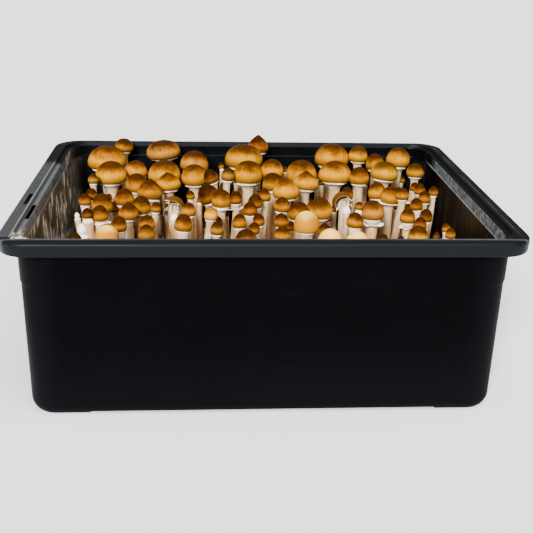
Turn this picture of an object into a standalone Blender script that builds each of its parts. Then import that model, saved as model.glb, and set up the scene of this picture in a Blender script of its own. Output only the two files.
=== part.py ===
"""A plastic grow tub filled with a block of growing medium and a crop of round-capped mushrooms.

The origin is at floor level under the middle of the rim: +X runs along the tub, -Y is its front, +Z is up.
"""

import bmesh
import bpy
from math import cos, pi, radians, sin
from mathutils import Matrix, Vector

MM = 0.001

# Driving sizes, in millimetres.
GAP = 0.3
CORNER_STEPS = 4
FOOT_HEIGHT = 3.0
FOOT_LENGTH = 44.0
FOOT_WIDTH = 40.0
SOIL_TOP = 58.0

# The tub's section, from the middle of the floor up the inside, over the rim and down the outside to the feet:
# half length, half width, corner radius, height. No two neighbours are level, so that they bridge squarely.
TUB_SECTION = [
    (187.6, 144.8, 13.6, 6.0),
    (194.0, 151.2, 17.6, 8.2),
    (196.4, 153.6, 19.4, 14.0),
    (197.2, 154.5, 20.8, 117.0),
    (197.4, 155.0, 21.0, 120.0),
    (197.6, 155.3, 21.2, 146.0),
    (197.7, 156.4, 21.8, 147.6),
    (197.8, 156.6, 22.0, 156.6),
    (198.4, 157.0, 22.2, 157.6),
    (202.4, 157.4, 22.4, 157.8),
    (203.0, 158.0, 22.6, 160.6),
    (204.2, 158.6, 23.0, 161.0),
    (205.2, 159.4, 23.2, 160.5),
    (213.0, 166.6, 24.4, 160.2),
    (214.6, 168.1, 24.9, 159.2),
    (215.0, 168.5, 25.0, 157.5),
    (214.6, 168.1, 25.0, 149.4),
    (213.9, 167.4, 24.6, 148.4),
    (212.6, 166.1, 24.0, 148.7),
    (212.0, 165.5, 23.6, 149.6),
    (212.0, 165.5, 23.6, 156.8),
    (203.4, 159.6, 22.8, 157.2),
    (202.0, 158.4, 22.4, 149.0),
    (201.6, 158.0, 22.0, 120.0),
    (200.9, 157.3, 22.0, 117.0),
    (199.9, 156.4, 21.0, 12.0),
    (198.2, 154.7, 20.0, 4.6),
    (195.0, 151.5, 17.4, 0.6),
    (193.6, 150.1, 16.4, 0.0),
]

# Slots in the left end's flange, each side of the bead: middle x and y, width, length, height of the bottom.
# The outer one goes through the flange, and the inner one is a pocket in the thick top of the wall.
CLIP_SLOTS = [(-207.2, -53.5, 3.6, 31.0, 150.0), (-200.2, -82.0, 3.2, 38.0, 152.8)]

# Where each single mushroom's cap stands: x, y, height of its crown, diameter.
SINGLES = [
    # along the back wall
    (8, 142, 174, 24),
    (-140, 141, 169, 21),
    (-96, 134, 169, 38),
    (89, 132, 167, 38),
    (118, 128, 166, 22),
    (162, 124, 165, 27),
    (-9, 116, 169, 41),
    (-156, 115, 167, 41),
    (-63, 112, 163, 31),
    (134, 109, 162, 20),
    # the second row
    (20, 87, 161, 24),
    (51, 87, 160, 34),
    (-123, 85, 159, 23),
    (87, 85, 160, 34),
    (139, 83, 160, 31),
    (-93, 83, 160, 34),
    (172, 81, 159, 19),
    (-6, 79, 161, 32),
    (-62, 75, 158, 27),
    (-147, 71, 162, 32),
    (110, 69, 158, 21),
    # between the middle and the back
    (52, 56, 157, 27),
    (-88, 52, 156, 26),
    (-163, 49, 155, 11),
    (-45, 27, 152, 22),
    # the middle
    (-129, 10, 151, 19),
    (59, -14, 150, 24),
    (-122, -28, 150, 19),
    (87, -49, 147, 16),
    # between the middle and the front
    (-71, -56, 147, 17),
    (-103, -58, 147, 15),
    (-128, -59, 147, 15),
    (-41, -80, 148, 12),
    # along the front
    (165, -85, 148, 12),
    (-136, -87, 150, 21),
    (136, -92, 149, 18),
    (16, -93, 149, 15),
    (-101, -93, 150, 15),
    (-16, -102, 149, 19),
    (79, -109, 150, 21),
]

# Clumps: the foot that the stems share, then each cap's x, y, crown height and diameter.
CLUMPS = [
    ((-36, 63), [(-43, 60, 158, 16), (-28, 67, 157, 15)]),
    ((24, 44), [(18, 55, 155, 22), (30, 32, 157, 27)]),
    ((-113, 40), [(-120, 50, 155, 22), (-106, 30, 155, 26)]),
    ((132, 21), [(124, 36, 151, 19), (132, 17, 152, 20), (143, 8, 154, 13)]),
    ((169, 19), [(165, 28, 153, 12), (177, 20, 152, 10), (166, 10, 150, 13)]),
    ((87, 10), [(90, 19, 151, 13), (84, 3, 150, 18)]),
    ((-157, 3), [(-160, 12, 151, 12), (-149, -3, 150, 21), (-165, -3, 150, 12)]),
    ((-29, 5), [(-35, 8, 151, 20), (-21, 3, 151, 13)]),
    ((-2, -4), [(7, 13, 151, 14), (-2, -1, 150, 15), (-9, -24, 149, 14)]),
    ((30, -16), [(22, -9, 149, 16), (38, -23, 149, 20)]),
    ((-104, -20), [(-112, -11, 150, 19), (-97, -30, 150, 10)]),
    ((-66, -25), [(-82, -11, 149, 19), (-66, -27, 149, 14), (-46, -37, 148, 13)]),
    ((101, -25), [(108, -25, 151, 22), (94, -26, 150, 8)]),
    ((148, -38), [(153, -13, 150, 13), (155, -41, 148, 13), (138, -41, 148, 15), (145, -62, 147, 12)]),
    ((-152, -36), [(-148, -33, 148, 16), (-158, -41, 148, 10)]),
    ((31, -52), [(42, -52, 149, 23), (19, -52, 147, 14)]),
    ((-10, -62), [(-2, -53, 147, 12), (-20, -55, 147, 14), (-8, -80, 148, 11)]),
    ((55, -92), [(54, -83, 148, 12), (57, -101, 149, 23)]),
]

# A mushroom's outline, from the foot up: radius and height. Radii are shares of the stem's or the cap's radius,
# and heights run up the stem from foot to veil, then up the cap from veil to crown.
STEM_OUTLINE = [(1.25, 0.0), (1.0, 0.93)]
CAP_OUTLINE = [(0.80, 0.0), (1.0, 0.24), (0.96, 0.5), (0.66, 0.84), (0.0, 1.0)]


def clear_scene():
    for old in list(bpy.data.objects):
        bpy.data.objects.remove(old)


def finish(name, colour, roughness):
    """A plain dielectric material."""
    made = bpy.data.materials.new(name)
    made.use_nodes = True
    shader = made.node_tree.nodes["Principled BSDF"]
    shader.inputs["Base Color"].default_value = (*colour, 1.0)
    shader.inputs["Roughness"].default_value = roughness
    shader.inputs["Metallic"].default_value = 0.0
    return made


def add_object(name, bm, made=None):
    """Puts a bmesh in the scene as a named object, or as a guide where it has no material."""
    mesh = bpy.data.meshes.new(name)
    bm.to_mesh(mesh)
    bm.free()
    placed = bpy.data.objects.new(name, mesh)
    bpy.context.scene.collection.objects.link(placed)
    if made:
        mesh.materials.append(made)
    else:
        placed.hide_render = True
        placed.display_type = "WIRE"
    return placed


def combine(target, tool, operation):
    """Adds or cuts one object with another, by a Boolean that stays on it."""
    joint = target.modifiers.new(tool.name, "BOOLEAN")
    joint.object = tool
    joint.operation = operation
    joint.solver = "EXACT"


# ---- the tub ----


def rounded_ring(bm, half_x, half_y, radius, height):
    """One level loop of edges: a rectangle with rounded corners."""
    corners = [(1, 1, 0), (-1, 1, 90), (-1, -1, 180), (1, -1, 270)]
    points = []
    for side_x, side_y, start in corners:
        middle = Vector((side_x * (half_x - radius), side_y * (half_y - radius), height))
        for step in range(CORNER_STEPS + 1):
            angle = radians(start + 90 * step / CORNER_STEPS)
            points.append(middle + Vector((radius * cos(angle), radius * sin(angle), 0)))
    verts = [bm.verts.new(point * MM) for point in points]
    return [bm.edges.new((verts[i - 1], verts[i])) for i in range(len(verts))]


def block(bm, low, high):
    """A box between two corners, in millimetres."""
    low, high = Vector(low), Vector(high)
    place = Matrix.Translation((low + high) / 2 * MM) @ Matrix.Diagonal((*((high - low) * MM), 1))
    bmesh.ops.create_cube(bm, size=1, matrix=place)


def face_outwards(bm):
    bmesh.ops.recalc_face_normals(bm, faces=bm.faces)
    if bm.calc_volume(signed=True) < 0:
        bmesh.ops.reverse_faces(bm, faces=bm.faces)


def loft(sections):
    """A closed solid through a run of rounded rectangles."""
    bm = bmesh.new()
    rings = [rounded_ring(bm, *section) for section in sections]
    for lower, upper in zip(rings, rings[1:]):
        bmesh.ops.bridge_loops(bm, edges=lower + upper)
    for end in (rings[0], rings[-1]):
        bmesh.ops.contextual_create(bm, geom=end)
    face_outwards(bm)
    return bm


def make_tub():
    tub = add_object("tub", loft(TUB_SECTION), finish("tub_plastic", (0.012, 0.014, 0.018), 0.35))
    reach = 300.0
    foot_x, foot_y = TUB_SECTION[-1][0] - FOOT_LENGTH, TUB_SECTION[-1][1] - FOOT_WIDTH

    hollow = bmesh.new()
    block(hollow, (-foot_x, -reach, -reach), (foot_x, reach, FOOT_HEIGHT))
    combine(tub, add_object("between_feet_along", hollow), "DIFFERENCE")
    hollow = bmesh.new()
    block(hollow, (-reach, -foot_y, -reach), (reach, foot_y, FOOT_HEIGHT))
    combine(tub, add_object("between_feet_across", hollow), "DIFFERENCE")

    for number, (x, y, width, length, bottom) in enumerate(CLIP_SLOTS, 1):
        slot = bmesh.new()
        block(slot, (x - width / 2, y - length / 2, bottom), (x + width / 2, y + length / 2, 170.0))
        combine(tub, add_object(f"clip_slot_{number}", slot), "DIFFERENCE")


# ---- the growing medium ----


def make_growing_medium():
    """The block fills the tub to SOIL_TOP, a gap clear of the floor and the walls."""
    floor, fillet, wall, top = TUB_SECTION[:4]
    share = (SOIL_TOP - wall[3]) / (top[3] - wall[3])
    surface = [low + (high - low) * share for low, high in zip(wall, top)]
    inside = [floor, fillet, wall, surface]
    sections = [(x - GAP, y - GAP, radius - GAP, z + GAP) for x, y, radius, z in inside]
    sections[-1] = (*sections[-1][:3], SOIL_TOP)
    add_object("growing_medium", loft(sections), finish("moist_fibre", (0.11, 0.07, 0.045), 0.95))


# ---- the mushrooms ----


def mushroom(x, y, crown, diameter, foot):
    """One mushroom: its outline spun about its axis, then leant so that the stem starts at the foot."""
    cap_radius = diameter / 2
    stem_radius = 1.6 + 0.1 * diameter
    cap_height = diameter * (1.1 - 0.0125 * diameter)
    veil = crown - cap_height
    start = foot[2]
    outline = [(0.0, start)]
    outline += [(stem_radius * share, start + (veil - start) * rise) for share, rise in STEM_OUTLINE]
    outline += [(cap_radius * share, veil + cap_height * rise) for share, rise in CAP_OUTLINE]

    bm = bmesh.new()
    verts = [bm.verts.new((radius * MM, 0, height * MM)) for radius, height in outline]
    edges = [bm.edges.new(pair) for pair in zip(verts, verts[1:])]
    steps = 10 if diameter > 30 else 8 if diameter > 16 else 6
    spun = {"cent": (0, 0, 0), "axis": (0, 0, 1), "angle": 2 * pi, "steps": steps, "use_merge": True}
    bmesh.ops.spin(bm, geom=verts + edges, **spun)
    bmesh.ops.remove_doubles(bm, verts=bm.verts, dist=0.00001)
    face_outwards(bm)
    for vert in bm.verts:
        down = max(0.0, (veil * MM - vert.co.z) / ((veil - start) * MM))
        vert.co.x += (x + (foot[0] - x) * down) * MM
        vert.co.y += (y + (foot[1] - y) * down) * MM
    return bm


def cap_colour(diameter):
    """Small caps are a darker red-brown, and large ones golden."""
    age = min(1.0, diameter / 40)
    return (0.30 + 0.16 * age, 0.12 + 0.13 * age, 0.03 + 0.03 * age)


def make_singles():
    """Each stem leans its own way, turned by the golden angle from the last, and starts under its own cap."""
    for number, (x, y, crown, diameter) in enumerate(SINGLES, 1):
        name = f"mushroom_{number:02d}"
        turn = radians(137.5 * number)
        lean = 0.2 * diameter
        foot = (x + lean * cos(turn), y + lean * sin(turn), SOIL_TOP + GAP)
        add_object(name, mushroom(x, y, crown, diameter, foot), finish(name, cap_colour(diameter), 0.5))


def make_clumps():
    """The stems of a clump spread from a low knot of flesh, and are joined with it in one solid."""
    for number, ((x, y), caps) in enumerate(CLUMPS, 1):
        name = f"clump_{number:02d}"
        knot = bmesh.new()
        place = Matrix.Translation(Vector((x, y, SOIL_TOP + GAP + 3.5)) * MM)
        sizes = {"segments": 12, "radius1": 8 * MM, "radius2": 4 * MM, "depth": 7 * MM}
        bmesh.ops.create_cone(knot, cap_ends=True, matrix=place, **sizes)
        largest = max(cap[3] for cap in caps)
        clump = add_object(name, knot, finish(name, cap_colour(largest), 0.5))
        for member, (cap_x, cap_y, crown, diameter) in enumerate(caps, 1):
            foot = (x + (cap_x - x) * 0.15, y + (cap_y - y) * 0.15, SOIL_TOP + 2)
            stem = add_object(f"{name}_stem_{member}", mushroom(cap_x, cap_y, crown, diameter, foot))
            combine(clump, stem, "UNION")


clear_scene()
make_tub()
make_growing_medium()
make_singles()
make_clumps()
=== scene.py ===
import random
from math import cos, degrees, hypot, pi, radians, sin

import bmesh
import bpy
from mathutils import Matrix, Vector, noise


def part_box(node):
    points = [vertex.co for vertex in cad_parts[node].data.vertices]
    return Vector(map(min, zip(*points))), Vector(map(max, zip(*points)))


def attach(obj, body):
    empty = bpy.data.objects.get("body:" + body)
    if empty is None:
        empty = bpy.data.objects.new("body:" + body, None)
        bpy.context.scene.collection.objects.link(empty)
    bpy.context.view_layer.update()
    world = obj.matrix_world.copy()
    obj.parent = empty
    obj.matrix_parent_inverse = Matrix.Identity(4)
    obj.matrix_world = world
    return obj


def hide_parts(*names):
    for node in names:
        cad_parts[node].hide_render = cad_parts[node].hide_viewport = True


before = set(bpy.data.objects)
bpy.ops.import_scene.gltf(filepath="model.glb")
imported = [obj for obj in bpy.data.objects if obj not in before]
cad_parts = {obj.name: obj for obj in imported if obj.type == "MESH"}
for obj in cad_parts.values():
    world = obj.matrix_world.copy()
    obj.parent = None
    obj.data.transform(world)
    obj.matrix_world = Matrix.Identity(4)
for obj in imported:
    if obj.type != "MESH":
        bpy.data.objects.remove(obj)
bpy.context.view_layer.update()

# ---- camera ----
# A camera in front of the tub and a little above its rim, looking down into the crop.
CAMERA_AT = Vector((-0.0509, -0.8037, 0.3951))
CAMERA_TURN = radians(4.33)
CAMERA_DOWN = radians(21.72)
CAMERA_ROLL = radians(1.51)
CAMERA_LENS = 58.76
CAMERA_SENSOR = 36.0


def put_in_scene(name, data):
    """An object for a camera, a mesh or a lamp."""
    made = bpy.data.objects.new(name, data)
    bpy.context.scene.collection.objects.link(made)
    return made


camera_data = bpy.data.cameras.new("camera")
camera_data.lens = CAMERA_LENS
camera_data.sensor_width = CAMERA_SENSOR
camera = put_in_scene("camera", camera_data)
level = Vector((cos(CAMERA_TURN), -sin(CAMERA_TURN), 0))
ahead = Vector((sin(CAMERA_TURN), cos(CAMERA_TURN), 0))
forward = ahead * cos(CAMERA_DOWN) - Vector((0, 0, sin(CAMERA_DOWN)))
upright = level.cross(forward)
across = level * cos(CAMERA_ROLL) + upright * sin(CAMERA_ROLL)
camera_up = upright * cos(CAMERA_ROLL) - level * sin(CAMERA_ROLL)
faced = Matrix((across, camera_up, -forward)).transposed().to_4x4()
camera.matrix_world = Matrix.Translation(CAMERA_AT) @ faced
bpy.context.scene.camera = camera


# ---- the tub ----
# One injection-moulded tub in near-black plastic. It has a rolled rim with a skirt under it, a
# foot at each corner and two clip slots in the left end's flange. The crop's damp has marked its
# inner walls. Light and shade are painted on its rim, and reflections of the crop on its
# inner walls.
# Sizes are in millimetres, and this makes them metres.
MM = 0.001
RIM_STEPS = 12
FOOT_HEIGHT = 3.0
FOOT_LENGTH = 44.0
FOOT_WIDTH = 40.0
# From the middle of the floor up the inside, over the rim and down the outside: half length, half
# width, corner radius, height.
TUB_SECTION = [
    (187.6, 144.8, 13.6, 6.0),
    (191.4, 148.6, 15.8, 6.6),
    (194.2, 151.4, 17.6, 8.4),
    (195.8, 153.0, 18.8, 11.0),
    (196.4, 153.6, 19.4, 14.0),
    (197.2, 154.5, 20.8, 117.0),
    (197.3, 154.7, 20.9, 118.4),
    (197.4, 155.0, 21.0, 120.0),
    (197.6, 155.3, 21.2, 146.0),
    (197.65, 155.9, 21.5, 146.6),
    (197.7, 156.4, 21.8, 147.6),
    (197.8, 156.6, 22.0, 156.4),
    (197.95, 156.75, 22.1, 157.1),
    (198.4, 157.0, 22.2, 157.5),
    (201.9, 157.35, 22.35, 157.7),
    (202.4, 157.5, 22.4, 158.1),
    (202.7, 157.8, 22.5, 160.0),
    (203.1, 158.1, 22.6, 160.75),
    (203.9, 158.5, 22.9, 161.0),
    (204.7, 158.9, 23.1, 160.8),
    (205.2, 159.3, 23.2, 160.45),
    (213.0, 166.6, 24.4, 160.2),
    (214.0, 167.5, 24.7, 159.85),
    (214.7, 168.2, 24.9, 159.1),
    (215.0, 168.5, 25.0, 157.9),
    (215.0, 168.5, 25.0, 157.2),
    (214.6, 168.1, 25.0, 149.4),
    (214.3, 167.8, 24.9, 148.75),
    (213.7, 167.2, 24.5, 148.4),
    (212.9, 166.4, 24.2, 148.5),
    (212.3, 165.8, 23.8, 149.0),
    (212.0, 165.5, 23.6, 149.8),
    (212.0, 165.5, 23.6, 156.8),
    (203.4, 159.6, 22.8, 157.2),
    (202.0, 158.4, 22.4, 149.0),
    (201.6, 158.0, 22.0, 120.0),
    (201.2, 157.6, 22.0, 118.4),
    (200.9, 157.3, 22.0, 117.0),
    (199.9, 156.4, 21.0, 12.0),
    (199.5, 156.0, 20.8, 8.0),
    (198.2, 154.7, 20.0, 4.6),
    (196.6, 153.1, 18.6, 2.2),
    (195.0, 151.5, 17.4, 0.6),
    (193.6, 150.1, 16.4, 0.0),
]
# The rings of the section where the rim's plastic starts inside, and where it ends outside.
RIM_STARTS = 12
RIM_ENDS = 34
WALL, RIM, INSIDE = range(3)
# Each slot's middle, width, length and bottom. The outer one goes right through.
CLIP_SLOTS = [(-207.2, -53.5, 3.6, 31.0, 140.0), (-200.2, -82.0, 3.2, 38.0, 152.8)]
# How far a cutter reaches past the tub, and the angle past which an edge stays sharp.
CUTTER_REACH = 300.0
CUTTER_TOP = 170.0
SHARP_EDGE = radians(32)


def tone(red, green, blue):
    """A colour as a paint card gives it, from 0 to 255, in the light's own scale."""
    def scaled(part):
        share = part / 255
        return share / 12.92 if share <= 0.04045 else ((share + 0.055) / 1.055) ** 2.4
    return (scaled(red), scaled(green), scaled(blue), 1.0)


def feed(made, inputs):
    """Sets a node's inputs: each is a number, a colour, or the socket that feeds it."""
    for key, value in inputs.items():
        if isinstance(value, bpy.types.NodeSocket):
            made.id_data.links.new(value, made.inputs[key])
        else:
            made.inputs[key].default_value = value


def node(tree, kind, inputs=(), **settings):
    """One shader node."""
    made = tree.nodes.new("ShaderNode" + kind)
    for key, value in settings.items():
        setattr(made, key, value)
    feed(made, dict(inputs))
    return made


def tree_of(*values):
    """The shader tree that the sockets among some values are in."""
    return next(value.id_data for value in values if isinstance(value, bpy.types.NodeSocket))


def ramp(source, *stops):
    """Colours along a mask: each stop is a place from 0 to 1 and a colour."""
    made = node(source.id_data, "ValToRGB", {"Fac": source})
    bar = made.color_ramp
    while len(bar.elements) < len(stops):
        bar.elements.new(0.5)
    for element, (place, colour) in zip(bar.elements, stops):
        element.position = place
        element.color = colour
    return made.outputs["Color"]


def band(source, low, high, first=0.0, last=1.0):
    """A smooth step: first below low, last above high."""
    given = {"Value": source, "From Min": low, "From Max": high, "To Min": first, "To Max": last}
    made = node(source.id_data, "MapRange", given, interpolation_type="SMOOTHSTEP")
    return made.outputs["Result"]


def blend(share, first, second, kind="MIX"):
    """Two colours mixed by a mask, or by a fixed share."""
    tree = tree_of(share, first, second)
    made = node(tree, "Mix", {0: share, 6: first, 7: second}, data_type="RGBA", blend_type=kind)
    return made.outputs[2]


def sums(operation, first, second):
    """Arithmetic on two masks."""
    tree = tree_of(first, second)
    return node(tree, "Math", {0: first, 1: second}, operation=operation).outputs[0]


def meet(first, *others):
    """Where masks meet, or a mask made weaker by a share."""
    for other in others:
        first = sums("MULTIPLY", first, other)
    return first


def strip(source, start, full, fading, gone):
    """A mask that is whole from full to fading, and nothing before start and past gone."""
    return meet(band(source, start, full), band(source, gone, fading))


def new_material(name, **fixed):
    """A material and its Principled shader, whose fixed values are set on the shader itself."""
    made = bpy.data.materials.new(name)
    made.use_nodes = True
    shader = made.node_tree.nodes["Principled BSDF"]
    feed(shader, {key.replace("_", " "): value for key, value in fixed.items()})
    return made, shader


def bumped(shader, height, strength, distance):
    """Relief that follows a mask."""
    given = {"Height": height, "Strength": strength, "Distance": distance}
    bump = node(height.id_data, "Bump", given)
    feed(shader, {"Normal": bump.outputs["Normal"]})


def object_place(shader):
    """Where a point is on the object, in metres."""
    return node(shader.id_data, "TexCoord").outputs["Object"]


def split(vector):
    """A place or a direction as its X, Y and Z."""
    return node(vector.id_data, "SeparateXYZ", {0: vector}).outputs


def streaks_group():
    """Marks drawn out along one way: a stretched noise, sharpened to separate lines."""
    group = bpy.data.node_groups.new("drawn_out_marks", "ShaderNodeTree")
    sockets = group.interface
    sockets.new_socket("Place", in_out="INPUT", socket_type="NodeSocketVector")
    for name, value in (("Spacing", 1.0), ("Lowest", 0.45), ("Highest", 0.7)):
        socket = sockets.new_socket(name, in_out="INPUT", socket_type="NodeSocketFloat")
        socket.default_value = value
    sockets.new_socket("Mask", in_out="OUTPUT", socket_type="NodeSocketFloat")
    given = group.nodes.new("NodeGroupInput").outputs
    grain = node(group, "TexNoise", {"Vector": given["Place"], "Scale": given["Spacing"],
                                     "Detail": 3.0, "Roughness": 0.6})
    sharp = node(group, "MapRange", {"Value": grain.outputs["Fac"], "From Min": given["Lowest"],
                                     "From Max": given["Highest"]})
    feed(group.nodes.new("NodeGroupOutput"), {"Mask": sharp.outputs["Result"]})
    return group


marks = streaks_group()


def drawn_marks(place, stretch, spacing, lowest, highest):
    """A mask of marks at a place, stretched by a factor for each axis."""
    tree = place.id_data
    turned = node(tree, "Mapping", {"Vector": place, "Scale": stretch}).outputs["Vector"]
    given = {"Place": turned, "Spacing": spacing, "Lowest": lowest, "Highest": highest}
    return node(tree, "Group", given, node_tree=marks).outputs["Mask"]


def spot_noise(place, scale, detail=3.0):
    """Soft patches: the larger the scale, the finer they are."""
    inputs = {"Vector": place, "Scale": scale, "Detail": detail}
    return node(place.id_data, "TexNoise", inputs).outputs["Fac"]


def cells(place, scale):
    """How far a point is from the nearest of many scattered ones."""
    return node(place.id_data, "TexVoronoi", {"Vector": place, "Scale": scale}).outputs["Distance"]


def tub_wall():
    """Below the rim: dull near-black, with dust low down and faint rubbed marks."""
    made, shader = new_material("tub_wall", Specular_IOR_Level=0.02)
    place = object_place(shader)
    x, _, z = split(place)
    cloud, grain = spot_noise(place, 14.0), spot_noise(place, 900.0, 2.0)
    body = blend(cloud, (0.0002, 0.0003, 0.0005, 1.0), (0.0008, 0.0010, 0.0015, 1.0))
    dusty = blend(cloud, (0.0010, 0.0011, 0.0015, 1.0), (0.0022, 0.0025, 0.0032, 1.0))
    colour = blend(band(z, 0.0, 0.085, 1.0, 0.0), body, dusty)
    # the rounded ends catch more light
    flank = band(sums("ABSOLUTE", x, 0.0), 0.165, 0.188)
    colour = blend(meet(flank, 0.6), colour, (0.0024, 0.0028, 0.0036, 1.0))
    # rubbed marks run round it
    scuffs = drawn_marks(place, (1.0, 1.0, 9.0), 60.0, 0.62, 0.8)
    colour = blend(meet(scuffs, 0.1), colour, (0.012, 0.0135, 0.016, 1.0))
    feed(shader, {"Base Color": colour, "Roughness": band(cloud, 0.3, 0.7, 0.42, 0.58)})
    bumped(shader, grain, 0.12, 0.0004)
    return made


def tub_rim():
    """Rolled rim, painted lighter than the wall for the light it catches, and greyer on the left
    end.
    """
    made, shader = new_material("tub_rim", Specular_IOR_Level=0.08)
    place = object_place(shader)
    x, y, z = split(place)
    cloud, grain = spot_noise(place, 16.0), spot_noise(place, 900.0, 2.0)
    mottle = spot_noise(place, 320.0, 4.0)
    # the rim's slate, lighter than the wall below it, is painted light that the rim catches
    skirt = blend(cloud, (0.0024, 0.0031, 0.0044, 1.0), (0.0042, 0.0052, 0.0072, 1.0))
    top = blend(cloud, (0.0026, 0.0034, 0.0050, 1.0), (0.0048, 0.0060, 0.0082, 1.0))
    colour = blend(band(z, 0.1592, 0.1602), skirt, top)
    # darker at the rear, which is left out of the painted light, with a ragged border
    rear_border_noise = spot_noise(place, 60.0, 5.0)
    rear_at = sums("ADD", y, meet(rear_border_noise, 0.05))
    rear = band(rear_at, 0.075, 0.112)
    colour = blend(meet(rear, 0.8), colour, (0.0016, 0.0019, 0.0026, 1.0))
    # the left end: a painted grey sheen, with a paler painted highlight on the ledge and an uneven
    # painted highlight along the bead
    side = meet(band(x, -0.195, -0.1975), band(y, -0.1555, -0.150))
    left = meet(side, sums("SUBTRACT", 1.0, rear))
    grey = blend(mottle, (0.014, 0.0155, 0.0165, 1.0), (0.062, 0.066, 0.069, 1.0))
    colour = blend(meet(left, 0.9), colour, grey)
    ledge = meet(left, band(x, -0.2046, -0.2038))
    pale = blend(mottle, (0.050, 0.054, 0.058, 1.0), (0.098, 0.104, 0.108, 1.0))
    colour = blend(ledge, colour, pale)
    bead_gleam_breaks = drawn_marks(place, (30.0, 1.0, 30.0), 34.0, 0.4, 0.62)
    bead = strip(x, -0.2031, -0.2034, -0.2041, -0.2045)
    bead = meet(bead, left, band(bead_gleam_breaks, 0.0, 1.0, 0.5, 1.0))
    colour = blend(bead, colour, (0.16, 0.165, 0.165, 1.0))
    # the right end: painted dark, as the side in shade, with one broken hairline
    right = band(x, 0.1965, 0.1985)
    colour = blend(meet(right, 0.85), colour, (0.0022, 0.0024, 0.0026, 1.0))
    hairline = strip(x, 0.2064, 0.2068, 0.2072, 0.2076)
    broken = drawn_marks(place, (1.0, 0.3, 1.0), 120.0, 0.4, 0.6)
    colour = blend(meet(hairline, broken), colour, (0.05, 0.052, 0.055, 1.0))
    # the front's inner edge: a painted highlight, stronger towards the corners
    ends = band(sums("ABSOLUTE", x, 0.0), 0.08, 0.15, 0.35, 1.0)
    front = strip(y, -0.1568, -0.1574, -0.1596, -0.1612)
    front = meet(front, ends, band(mottle, 0.25, 0.6, 0.5, 1.0))
    colour = blend(front, colour, (0.040, 0.042, 0.047, 1.0))
    # pale cream patches inside the left front corner
    corner = meet(band(x, -0.186, -0.1925), band(y, -0.122, -0.142),
                  band(x, -0.2032, -0.2005), band(y, -0.1582, -0.1566))
    pale_patches = meet(corner, band(mottle, 0.42, 0.56))
    colour = blend(pale_patches, colour, (0.42, 0.35, 0.25, 1.0))
    feed(shader, {"Base Color": colour, "Roughness": band(cloud, 0.3, 0.7, 0.42, 0.56)})
    bumped(shader, grain, 0.12, 0.0004)
    return made


def tub_inside():
    """Damp inside, with painted reflections of the crop on the walls and white runs on the left."""
    made, shader = new_material("tub_inside", Specular_IOR_Level=0.05)
    place = object_place(shader)
    x, y, z = split(place)
    cloud = spot_noise(place, 22.0)
    mottle = spot_noise(place, 260.0, 5.0)
    wall = blend(cloud, (0.0012, 0.0018, 0.0022, 1.0), (0.0030, 0.0042, 0.0050, 1.0))
    smudge = meet(band(spot_noise(place, 30.0), 0.5, 0.68), 0.5)
    wall = blend(smudge, wall, (0.008, 0.010, 0.0125, 1.0))
    # the right wall: brown, a painted reflection of the crop and the bed, with tall faint runs
    brown = blend(cloud, (0.0020, 0.0015, 0.0011, 1.0), (0.0052, 0.0040, 0.0030, 1.0))
    wall = blend(band(x, 0.185, 0.196), wall, brown)
    tall = drawn_marks(place, (1.0, 1.0, 0.08), 130.0, 0.52, 0.66)
    right_runs = meet(tall, band(x, 0.185, 0.196, 0.0, 0.35))
    wall = blend(right_runs, wall, (0.028, 0.026, 0.023, 1.0))
    # the left wall: olive, a painted reflection of the crop, and painted paler towards the rear to
    # make up for the shade there, with white runs that start in patches: partly dried damp and
    # partly painted reflections of the stems
    left = meet(band(x, -0.170, -0.186), band(y, 0.153, 0.138))
    far = band(y, -0.12, 0.10)
    near_olive = blend(cloud, (0.016, 0.011, 0.006, 1.0), (0.060, 0.044, 0.024, 1.0))
    far_olive = blend(cloud, (0.022, 0.020, 0.014, 1.0), (0.16, 0.14, 0.10, 1.0))
    wall = blend(left, wall, blend(far, near_olive, far_olive))
    left = meet(left, band(y, 0.148, 0.11, 0.25, 1.0))
    runs = drawn_marks(place, (1.0, 1.0, 0.12), 330.0, 0.50, 0.58)
    patches = band(spot_noise(place, 40.0), 0.42, 0.56)
    patches = meet(patches, band(y, -0.15, -0.03, 0.35, 1.0))
    streaked = meet(runs, patches, left)
    wall = blend(streaked, wall, (0.96, 0.90, 0.74, 1.0))
    # above the inner ledge: a painted grey sheen at both ends, and painted dark at the rear to hide
    # the light that the ledge catches there
    high = band(z, 0.1474, 0.1482)
    flank = sums("ABSOLUTE", x, 0.0)
    ends = meet(band(flank, 0.1945, 0.1968), band(y, 0.118, 0.088))
    end_sheen = blend(band(mottle, 0.3, 0.7), (0.022, 0.027, 0.030, 1.0), (0.15, 0.175, 0.19, 1.0))
    wall = blend(meet(high, ends), wall, end_sheen)
    ledge = band(z, 0.1445, 0.1458)
    rear = meet(ledge, band(y, 0.13, 0.15, 0.0, 0.85))
    wall = blend(rear, wall, (0.0006, 0.0008, 0.0011, 1.0))
    # the ledge's edge: a painted highlight at both ends
    lip = strip(z, 0.1458, 0.1463, 0.1473, 0.1480)
    lip = meet(lip, band(mottle, 0.3, 0.6, 0.45, 1.0))
    edge = meet(lip, band(flank, 0.1945, 0.1968), band(y, 0.14, 0.11))
    wall = blend(edge, wall, (0.27, 0.265, 0.25, 1.0))
    # pale cream patches in the left front corner
    corner = meet(band(y, -0.118, -0.140), band(x, -0.165, -0.178),
                  band(z, 0.118, 0.136))
    pale_patches = meet(corner, band(mottle, 0.40, 0.54))
    wall = blend(pale_patches, wall, (0.95, 0.74, 0.46, 1.0))
    feed(shader, {"Base Color": wall, "Roughness": band(cloud, 0.3, 0.7, 0.22, 0.40)})
    beads = cells(place, 420.0)
    bumped(shader, band(beads, 0.0, 0.35, 1.0, 0.0), 0.15, 0.0005)
    return made


def closed_loop(bm, points):
    """A loop of edges through points."""
    verts = [bm.verts.new(point) for point in points]
    return [bm.edges.new((verts[i - 1], verts[i])) for i in range(len(verts))]


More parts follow.
